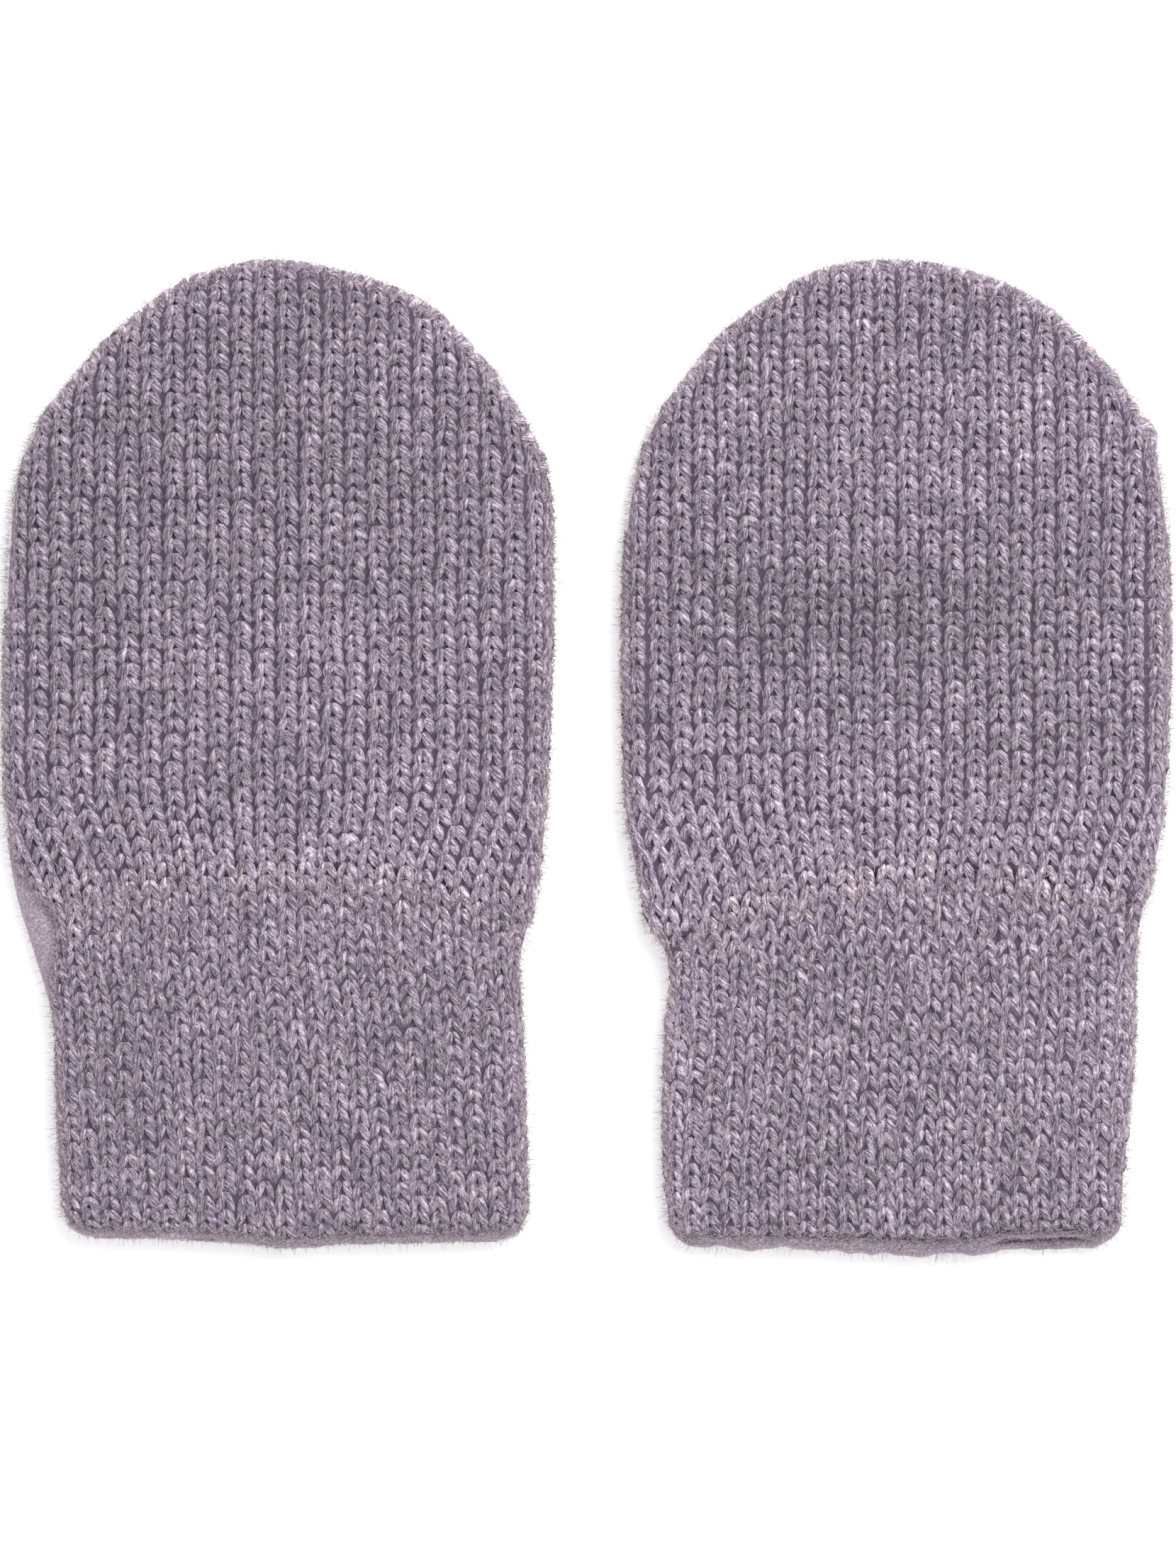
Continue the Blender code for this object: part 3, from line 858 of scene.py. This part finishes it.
def add_roll(name, cloth, path, inward, centre, roll, rng, material):
    """A soft closed roll along a path, such as a turned hem. Its ends close to points."""
    count, sides = len(path), ROLL_SIDES
    shut = closing(count, roll.closing)
    angles = np.linspace(0.0, 2 * pi, sides, endpoint=False)
    run = run_along(path)
    line = np.stack([run, np.zeros(count)], 1)
    wide = roll.wide * shut * (1.0 + roll.rough * wobbles(rng, line, WIDE_WAVES))
    thick = roll.thick * shut * (1.0 + wobbles(rng, line, ROLL_WAVES))
    inner = slice(1, -1)
    plan = path[inner, None, :] + inward[inner, None, :] * (wide[inner, None] * np.cos(angles))[..., None]
    height = centre[inner, None] + thick[inner, None] * np.sin(angles)
    rings = np.concatenate([plan, height[..., None]], -1).reshape(-1, 3)
    ends = np.column_stack([path[[0, -1]], centre[[0, -1]]])
    points = np.concatenate([ends[:1], rings, ends[1:]])
    points[:, 2] = np.maximum(points[:, 2], 0.0)
    run_all = np.concatenate([run[:1], np.repeat(run[inner], sides), run[-1:]])
    round_all = np.concatenate([[0.0], (wide[inner, None] * angles).ravel(), [0.0]])
    marks = np.column_stack([run_all, round_all, np.zeros(len(points))])
    tones = roll.tone * (1.0 + wobbles(rng, points[:, :2], ROLL_WAVES))[:, None] * FELT_TONE
    faces = strand_faces(count - 2, sides)
    return add_mesh(name, cloth.mitten, swayed(cloth, points), faces, marks, tones, material)


def add_hem(cloth, rng, material):
    """The turned lower edge of a cuff: a soft roll with no stitches on it."""
    mitten = cloth.mitten
    heights = hem_height(mitten, cloth.front) + HEM_CORNER * (1.0 - np.cos(HEM_TURNS))
    left = stretch(mitten, "left", heights, cloth.front)
    right = stretch(mitten, "right", heights[::-1], cloth.front)
    middle = np.linspace(left[-1], right[0], HEM_POINTS)[1:-1]
    edge = np.concatenate([left, middle, right])
    inward = unit(on_grid(cloth.inward, edge))
    wide = mitten.hem_roll if cloth.front else BACK_HEM_ROLL
    path = edge + inward * (wide - HEM_SINK)
    if cloth.front:
        base, more = FRONT_HEM_HIGH
        low, high = WALL + GAP, WALL + GAP + (base + more * wide) * WALL
    else:
        base, more = BACK_HEM_HIGH
        low, high = 0.0, WALL + base + more * (1.0 - parted(mitten, edge[:, 0]))
    centre = 0.5 * (low + high) * np.ones(len(edge))
    roll = Roll(wide, 0.5 * (high - low) + HEM_SWELL, HEM_CLOSING, rough=HEM_ROUGH)
    return add_roll(layer_name(cloth, "hem"), cloth, path, inward, centre, roll, rng, material)


def add_join(cloth, rng, material):
    """The seam's turned edge under the stitches, where hand and cuff are joined."""
    mitten = cloth.mitten
    left = side_at(mitten, "left", mitten.junction.left, cloth.front)
    right = side_at(mitten, "right", mitten.junction.right, cloth.front)
    x = np.linspace(left + JOIN_INSET, right - JOIN_INSET, JOIN_POINTS)
    path = np.column_stack([x, junction_height(mitten, x)])
    upward = np.tile([0.0, 1.0], (len(x), 1))
    places = wrapped(cloth, path, np.full(len(x), JOIN_LIFT))
    name = layer_name(cloth, "join")
    return add_roll(name, cloth, places[:, :2], upward, places[:, 2], JOIN, rng, material)


def add_tuck_band(cloth, rng, material):
    """The lower layer's smooth side, in sight where the upper layer is tucked in."""
    mitten = cloth.mitten
    edge = stretch(mitten, mitten.tuck.side, BAND_HEIGHTS, False)
    inward = unit(on_grid(cloth.inward, edge))
    path = edge + inward * (BAND_INSET * BAND.wide * closing(len(edge), BAND.closing))[:, None]
    centre = np.full(len(edge), BAND_CENTRE)
    return add_roll(f"{mitten.name}_tuck_band", cloth, path, inward, centre, BAND, rng, material)


def add_rim(cloth, rng, material):
    """The turned edge between front and back, all round but for the hem."""
    edge = outline(cloth.mitten, False)[::2]
    inward = unit(on_grid(cloth.inward, edge))
    path = edge + inward * RIM_INSET
    centre = np.full(len(edge), WALL + 0.5 * GAP)
    return add_roll(f"{cloth.mitten.name}_rim", cloth, path, inward, centre, RIM, rng, material)


def add_tip_seam(cloth, rng, material):
    """Uneven stitches that join front and back round the tip, from corner to corner."""
    mitten = cloth.mitten
    edge = outline(mitten, cloth.front)
    low = {corner.side: corner.height - SEAM_BELOW for corner in mitten.corners[:2]}
    edge = edge[np.where(edge[:, 0] < 0, edge[:, 1] > low["left"], edge[:, 1] > low["right"])]
    run = run_along(edge)
    stops = [SEAM_FROM]
    while stops[-1] < run[-1] - SEAM_LEFT_OVER:
        stops.append(stops[-1] + rng.uniform(*SEAM_STEP))
    count = len(stops)
    places = np.column_stack([np.interp(stops, run, edge[:, 0]), np.interp(stops, run, edge[:, 1])])
    inward = unit(on_grid(cloth.inward, places))
    sideways = np.column_stack([inward[:, 1], -inward[:, 0]])
    t = leg_rings(SEAM_RINGS)[None]
    depth = -EDGE_GAIN - SEAM_OUT + t * rng.uniform(*SEAM_REACH, (count, 1))
    slip = (t - SEAM_PIVOT) * rng.normal(*SEAM_SLIP, (count, 1))
    paths = places[:, None] + inward[:, None] * depth[..., None] + sideways[:, None] * slip[..., None]
    across = np.repeat(sideways[:, None], t.size, 1)
    size = rng.uniform(*SEAM_SIZES, (count, 1))
    swell = SEAM_ENDS + (1.0 - SEAM_ENDS) * np.sin(pi * t) ** SEAM_SWELL_POWER
    lifts = SEAM_ARCH * size * np.sin(pi * t) - SEAM_SINK - SEAM_END_DIP * t**3
    wide, thick = SEAM_WIDE * size * swell, SEAM_THICK * swell * np.ones((count, 1))
    seeds = rng.uniform(0, 1, count)
    flat, lift, marks, faces = strands(paths, across, lifts, wide, thick, SEAM_SIDES, seeds)
    tones = np.repeat(rng.uniform(*SEAM_TONES, count), len(flat) // count)
    # The seam at the edge takes part of the same warmer colour and painted light.
    tones = tones[:, None] * (1.0 + SEAM_EDGE_WARMTH_AND_LIGHT * np.array(EDGE_WARMTH_AND_PAINTED_LIGHT))
    return add_strands(layer_name(cloth, "tip_seam"), cloth, flat, lift, faces, marks, tones, material)


# Roots are sought over this half width and this far past each end, so many at a time
ROOT_HALF_WIDE = 38
ROOT_PAST = 2
ROOT_TRIES = 20000

# Fibres bend by this spread in radians, over each of their pieces in this share
FIBRE_BEND = 0.5
FIBRE_TURN = 0.6

# A kind of fibre has roots in a range, of shares of a leg or of distances from the edge, a range
# of lengths, half its thickness, a range of rises, and its lifts along it, each as a share of the
# rise and an amount added. The halo's rise is its least, mean addition and most.
Fibre = namedtuple("Fibre", "roots lengths thin rise stages")
LEG = Fibre((0.15, 0.7), (0.7, 1.9), 0.055, (-0.05, 0.12), ((1, -0.35), (1, 0), (1, -0.35)))
HEM = Fibre((-EDGE_GAIN, 1.6), (0.5, 1.3), 0.035, (0, 0.4), ((1, -0.35), (1, 0), (1, -0.1)))
STANDING = Fibre((-1, 99), (1, 3), 0.026, (0.05, 0.45), ((0, -0.3), (0.4, 0), (0.9, 0), (1, 0)))
HALO = Fibre((-EDGE_GAIN, 1.3), (0.2, 0.9), 0.026, (0.15, 0.4, 1.7), ((0, -0.3), (0.55, 0), (1, 0)))
LEG_ROOT_SPREAD = 0.35
LEG_ANGLE_SPREAD = 0.42

# How many fibres a panel has on each leg, standing (over both its hand and cuff) and in its halo.
# A hem's are those of so many tries that root low enough.
FRONT_FIBRES = (6, 1800, 9000)
BACK_FIBRES = (0, 0, 3200)
HEM_TRIES = 60000
HEM_FIBRES = 2600


def fibre_roots(cloth, rng, kind, count):
    """Random places on the cloth for a kind of fibre."""
    low, high = kind.roots
    roots = np.empty((0, 2))
    top = top_height(cloth.mitten)
    while len(roots) < count:
        across = rng.uniform(-ROOT_HALF_WIDE, ROOT_HALF_WIDE, ROOT_TRIES)
        tries = np.column_stack([across, rng.uniform(-ROOT_PAST, top + ROOT_PAST, ROOT_TRIES)])
        inside = on_grid(cloth.inside, tries)
        roots = np.concatenate([roots, tries[(inside > low) & (inside < high)]])
    return roots[:count]


def fibres(rng, kind, roots, angle, length, rise):
    """Bent fibres of a kind, from their roots."""
    number, pieces = len(roots), len(kind.stages) - 1
    lifts = np.stack([share * rise + more for share, more in kind.stages], 1)
    bend = rng.normal(0, FIBRE_BEND, number)
    path = [roots]
    for i in range(pieces):
        heading = angle + bend * i * FIBRE_TURN
        step = np.stack([np.cos(heading), np.sin(heading)], 1) * (length / pieces)[:, None]
        path.append(path[-1] + step)
    paths = np.stack(path, 1)
    wide = np.full(lifts.shape, kind.thin)
    return strands(paths, crosswise(paths), lifts, wide, wide, 3, rng.uniform(0, 1, number))


def strewn(rng, kind, roots, rise):
    """Fibres of a kind that lie anyhow."""
    angle = rng.uniform(0, 2 * pi, len(roots))
    return fibres(rng, kind, roots, angle, rng.uniform(*kind.lengths, len(roots)), rise)


def leg_fibres(rng, legs, each):
    """Short fibres that lie on the legs, roughly along them."""
    picked = np.tile(np.arange(len(legs)), each)
    number = len(picked)
    start, end = legs[picked, 0], legs[picked, -1]
    angle = np.arctan2(end[:, 1] - start[:, 1], end[:, 0] - start[:, 0])
    angle += rng.normal(0, LEG_ANGLE_SPREAD, number)
    length = rng.uniform(*LEG.lengths, number)
    ahead = np.stack([np.cos(angle), np.sin(angle)], 1)
    middle = start + (end - start) * rng.uniform(*LEG.roots, number)[:, None]
    middle[:, 0] += rng.normal(0, LEG_ROOT_SPREAD, number)
    rise = rng.uniform(*LEG.rise, number)
    return fibres(rng, LEG, middle - 0.5 * length[:, None] * ahead, angle, length, rise)


def add_fuzz(cloth, hand, rng, legs, material):
    """Loose fibres: short ones that lie on the legs, longer ones that stand off the cloth, a soft
    halo round the edge and a felted hem."""
    each, standing, halo = FRONT_FIBRES if cloth.front else BACK_FIBRES
    sets = []
    if not hand and cloth.front:
        roots = fibre_roots(cloth, rng, HEM, HEM_TRIES)
        below = hem_height(cloth.mitten, cloth.front) + HEM.roots[1]
        roots = roots[roots[:, 1] < below][:HEM_FIBRES]
        sets.append(strewn(rng, HEM, roots, rng.uniform(*HEM.rise, len(roots))))
    if each:
        sets.append(leg_fibres(rng, legs, each))
    split = junction_height(cloth.mitten, 0.0)
    if standing:
        roots = fibre_roots(cloth, rng, STANDING, standing)
        roots = roots[(roots[:, 1] > split) == hand]
        sets.append(strewn(rng, STANDING, roots, rng.uniform(*STANDING.rise, len(roots))))
    roots = fibre_roots(cloth, rng, HALO, halo)
    roots = roots[(roots[:, 1] > split) == hand]
    least, mean, most = HALO.rise
    rise = np.minimum(least + rng.exponential(mean, len(roots)), most)
    sets.append(strewn(rng, HALO, roots, rise))
    starts = np.cumsum([0] + [len(part[0]) for part in sets[:-1]])
    faces = np.concatenate([part[3] + start for part, start in zip(sets, starts)])
    flat, lift, marks = (np.concatenate(parts) for parts in list(zip(*sets))[:3])
    tones = cloth_tone_and_painted_light(cloth, rng, flat)
    name = f"{panel_name(cloth, hand)}_fuzz"
    return add_mesh(name, cloth.mitten, wrapped(cloth, flat, lift), faces, marks, tones, material)


class Tree:
    """Short calls for building a material's nodes."""

    def __init__(self, name, **sockets):
        self.material = bpy.data.materials.new(name)
        self.material.use_nodes = True
        self.shader = self.material.node_tree.nodes["Principled BSDF"]
        for label, value in sockets.items():
            self.feed(self.shader.inputs[label.replace("_", " ")], value)

    def feed(self, socket, value):
        """Give a socket a number, a colour or another node's output."""
        if isinstance(value, bpy.types.NodeSocket):
            self.material.node_tree.links.new(value, socket)
        else:
            socket.default_value = (*value, 1.0) if isinstance(value, tuple) else value

    def node(self, kind, sockets=None, **settings):
        made = self.material.node_tree.nodes.new(kind)
        for key, value in settings.items():
            setattr(made, key, value)
        for key, value in (sockets or {}).items():
            self.feed(made.inputs[key], value)
        return made

    def strand(self):
        """A strand's own measures: the distance along it, the distance round it and its seed."""
        measures = self.node("ShaderNodeAttribute", attribute_name="strand").outputs["Vector"]
        return self.node("ShaderNodeSeparateXYZ", {0: measures}).outputs

    def noise(self, vector, scale, detail, roughness=0.5, distortion=0.0):
        labels = ("Vector", "Scale", "Detail", "Roughness", "Distortion")
        sockets = dict(zip(labels, (vector, scale, detail, roughness, distortion)))
        return self.node("ShaderNodeTexNoise", sockets).outputs["Fac"]

    def maths(self, operation, *values):
        return self.node("ShaderNodeMath", dict(enumerate(values)), operation=operation).outputs[0]

    def ramp(self, source, stops):
        made = self.node("ShaderNodeValToRGB", {"Fac": source})
        elements = made.color_ramp.elements
        while len(elements) < len(stops):
            elements.new(0.5)
        for element, (place, colour) in zip(elements, stops):
            element.position = place
            element.color = (*colour, 1.0)
        return made.outputs["Color"]

    def mix(self, factor, first, second, blend="MIX"):
        """A mix of two colours, which are the node's sockets 6 and 7 and its output 2."""
        sockets = {0: factor, 6: first, 7: second}
        return self.node("ShaderNodeMix", sockets, data_type="RGBA", blend_type=blend).outputs[2]

    def finished(self, colour):
        """The material, with its colour given the tone that each mesh carries."""
        tone = self.node("ShaderNodeAttribute", attribute_name="tone").outputs["Vector"]
        self.feed(self.shader.inputs["Base Color"], self.mix(1.0, colour, tone, "MULTIPLY"))
        return self.material


# The colours of the yarn and of felted edges from dark to light, and those of single fibres
YARN = ((0.18, 0.137, 0.199), (0.392, 0.319, 0.421), (0.72, 0.627, 0.732))
FELT = ((0.24, 0.195, 0.26), (0.325, 0.268, 0.345), (0.42, 0.355, 0.43))
# The shell under the stitches and the seam's turned edge are the same wool made dark: painted shade in the
# gaps between stitches.
UNDER_PAINTED_SHADE = (0.14, 0.103, 0.155)
WARM_FLECK = (0.6, 0.5, 0.42)
LOOSE = (
    (0.0, (0.21, 0.162, 0.236)),
    (0.25, (0.4, 0.342, 0.41)),
    (0.75, (0.63, 0.556, 0.63)),
    (0.95, (0.71, 0.62, 0.585)),
)
STREAK_STOPS = (0.42, 0.5, 0.58)
CLOUD_STOPS = ((0.3, (0.88, 0.87, 0.89)), (0.7, (1.12, 1.12, 1.1)))
GRAIN_STOPS = ((0.3, (0.7, 0.69, 0.73)), (0.7, (1.3, 1.31, 1.27)))
CLOUD_SCALE = 260.0
GRAIN_SCALE = 3600.0
SEED_STEP = 97.0

# Warm flecks show where their noise passes a limit, and grow to their most with this slope
FLECK_LIMIT = 0.66
FLECK_SLOPE = 7.0
FLECK_MOST = 0.6


def wool_material(name, colours, bump_distance, shorter=1.0):
    """Heathered wool with fibres that run along each strand."""
    tree = Tree(
        name,
        Roughness=0.95,
        Specular_IOR_Level=0.15,
        Sheen_Weight=0.5,
        Sheen_Roughness=0.5,
        Sheen_Tint=(0.92, 0.88, 0.94),
    )
    run, around, seed = tree.strand()

    def streaks(along, over, twist, shift, detail):
        """Noise drawn out along the strand and wound round it."""
        drawn = tree.maths("MULTIPLY", run, along * shorter)
        wound = tree.maths("MULTIPLY_ADD", run, twist, tree.maths("MULTIPLY", around, over))
        apart = tree.maths("MULTIPLY_ADD", seed, SEED_STEP, shift)
        place = tree.node("ShaderNodeCombineXYZ", {0: drawn, 1: wound, 2: apart}).outputs[0]
        return tree.noise(place, 1.0, detail, 0.6, 0.5)

    fine = streaks(1.0, 4.6, 1.8, 0.0, 2.0)
    coarse = streaks(0.7, 3.0, 1.2, 17.0, 1.0)
    fleck = streaks(0.8, 4.0, 0.8, 41.0, 1.0)
    streak = tree.maths("ADD", tree.maths("MULTIPLY", fine, 0.5), tree.maths("MULTIPLY", coarse, 0.5))
    colour = tree.ramp(streak, tuple(zip(STREAK_STOPS, colours)))
    position = tree.node("ShaderNodeNewGeometry").outputs["Position"]
    cloud = tree.ramp(tree.noise(position, CLOUD_SCALE, 3.0), CLOUD_STOPS)
    grain = tree.ramp(tree.noise(position, GRAIN_SCALE, 2.0), GRAIN_STOPS)
    colour = tree.mix(1.0, colour, cloud, "MULTIPLY")
    colour = tree.mix(1.0, colour, grain, "MULTIPLY")
    warm = tree.maths("MULTIPLY", tree.maths("SUBTRACT", fleck, FLECK_LIMIT), FLECK_SLOPE)
    warm = tree.maths("MINIMUM", tree.maths("MAXIMUM", warm, 0.0), FLECK_MOST)
    colour = tree.mix(warm, colour, WARM_FLECK)
    relief = tree.node("ShaderNodeBump", {"Strength": 0.8, "Distance": bump_distance, "Height": streak})
    tree.feed(tree.shader.inputs["Normal"], relief.outputs[0])
    return tree.finished(colour)


def fibre_material():
    """Loose fibres: mostly pale lilac, and now and then beige or dark."""
    tree = Tree("loose_fibres", Roughness=0.9, Specular_IOR_Level=0.15)
    return tree.finished(tree.ramp(tree.strand()[2], LOOSE))


def plain_material(name, colour, glow=0.0):
    """One even matt colour, with a white glow if asked."""
    return Tree(
        name,
        Base_Color=colour,
        Roughness=0.95,
        Specular_IOR_Level=0.1,
        Emission_Color=(1.0, 1.0, 1.0),
        Emission_Strength=glow,
    ).material


# Floor, light and camera, in metres
FLOOR_HALF = 1.5
FLOOR_DROP = 0.0002
FLOOR_COLOUR = (0.9, 0.9, 0.9)
LAMP_SIZE = 0.7
LAMP_PLACE = (0.45, 0.55, 0.9)
CAMERA_HEIGHT = 1.2
SENSOR = 36.0
FRAME_LONG = 0.1991
FRAME_CENTRE = (0.0002, -0.0033)
FRAME_PLANE = 0.004
FLOOR_GLOW = 0.38
SKY = 0.7
LAMP_WATTS = 9.0


def add_stage():
    """A white floor, soft light from all round and a wide lamp above."""
    data = bpy.data.meshes.new("floor")
    corners = [(-1, -1), (1, -1), (1, 1), (-1, 1)]
    data.from_pydata([(FLOOR_HALF * x, FLOOR_HALF * y, 0) for x, y in corners], [], [(0, 1, 2, 3)])
    data.materials.append(plain_material("floor_white", FLOOR_COLOUR, FLOOR_GLOW))
    floor = add_object("floor", data)
    floor.location.z = -FLOOR_DROP
    world = bpy.data.worlds.new("studio")
    world.use_nodes = True
    sky = world.node_tree.nodes["Background"].inputs
    sky["Color"].default_value = (1.0, 1.0, 1.0, 1.0)
    sky["Strength"].default_value = SKY
    bpy.context.scene.world = world
    lamp = bpy.data.lights.new("softbox", "AREA")
    lamp.shape = "RECTANGLE"
    lamp.size = lamp.size_y = LAMP_SIZE
    lamp.energy = LAMP_WATTS
    box = add_object("softbox", lamp)
    box.location = LAMP_PLACE
    box.rotation_euler = (-box.location).to_track_quat("-Z", "Y").to_euler()


def add_camera():
    """Straight down from far off, as the photo was taken."""
    camera = bpy.data.cameras.new("camera")
    camera.sensor_width = SENSOR
    camera.lens = SENSOR * CAMERA_HEIGHT / FRAME_LONG
    camera.clip_start, camera.clip_end = 0.05, 10.0
    rig = add_object("camera", camera)
    rig.location = (*FRAME_CENTRE, FRAME_PLANE + CAMERA_HEIGHT)
    bpy.context.scene.camera = rig


def main():
    """The mittens over their frame, then the stage and the camera."""
    for old in list(bpy.data.objects):
        bpy.data.objects.remove(old)
    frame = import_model()
    yarn = wool_material("lilac_wool", YARN, 0.0003)
    felt = wool_material("lilac_wool_felted", FELT, 0.0001, 4.0)
    # A dark matt colour for the shell under the stitches: painted shade between them.
    under = plain_material("lilac_wool_under", UNDER_PAINTED_SHADE)
    loose = fibre_material()
    rng = np.random.default_rng(7)
    for mitten in (LEFT, RIGHT):
        for front in (True, False):
            cloth = Cloth(mitten, front, *edge_field(mitten, front))
            for hand in (True, False):
                node = panel_name(cloth, hand)
                stitches, legs = add_stitches(cloth, hand, rng, yarn)
                pieces = [stitches, add_fuzz(cloth, hand, rng, legs, loose)]
                if hand:
                    pieces += [add_tip_seam(cloth, rng, yarn), add_join(cloth, rng, under)]
                else:
                    pieces.append(add_hem(cloth, rng, felt))
                if mitten.tuck and not front and not hand:
                    pieces.append(add_tuck_band(cloth, rng, felt))
                if hand and not front:
                    pieces.append(add_rim(cloth, rng, felt))
                add_cloth(cloth, hand, frame["nodes"][node], under)
    add_stage()
    add_camera()
    bpy.context.scene.view_settings.view_transform = "Standard"


main()
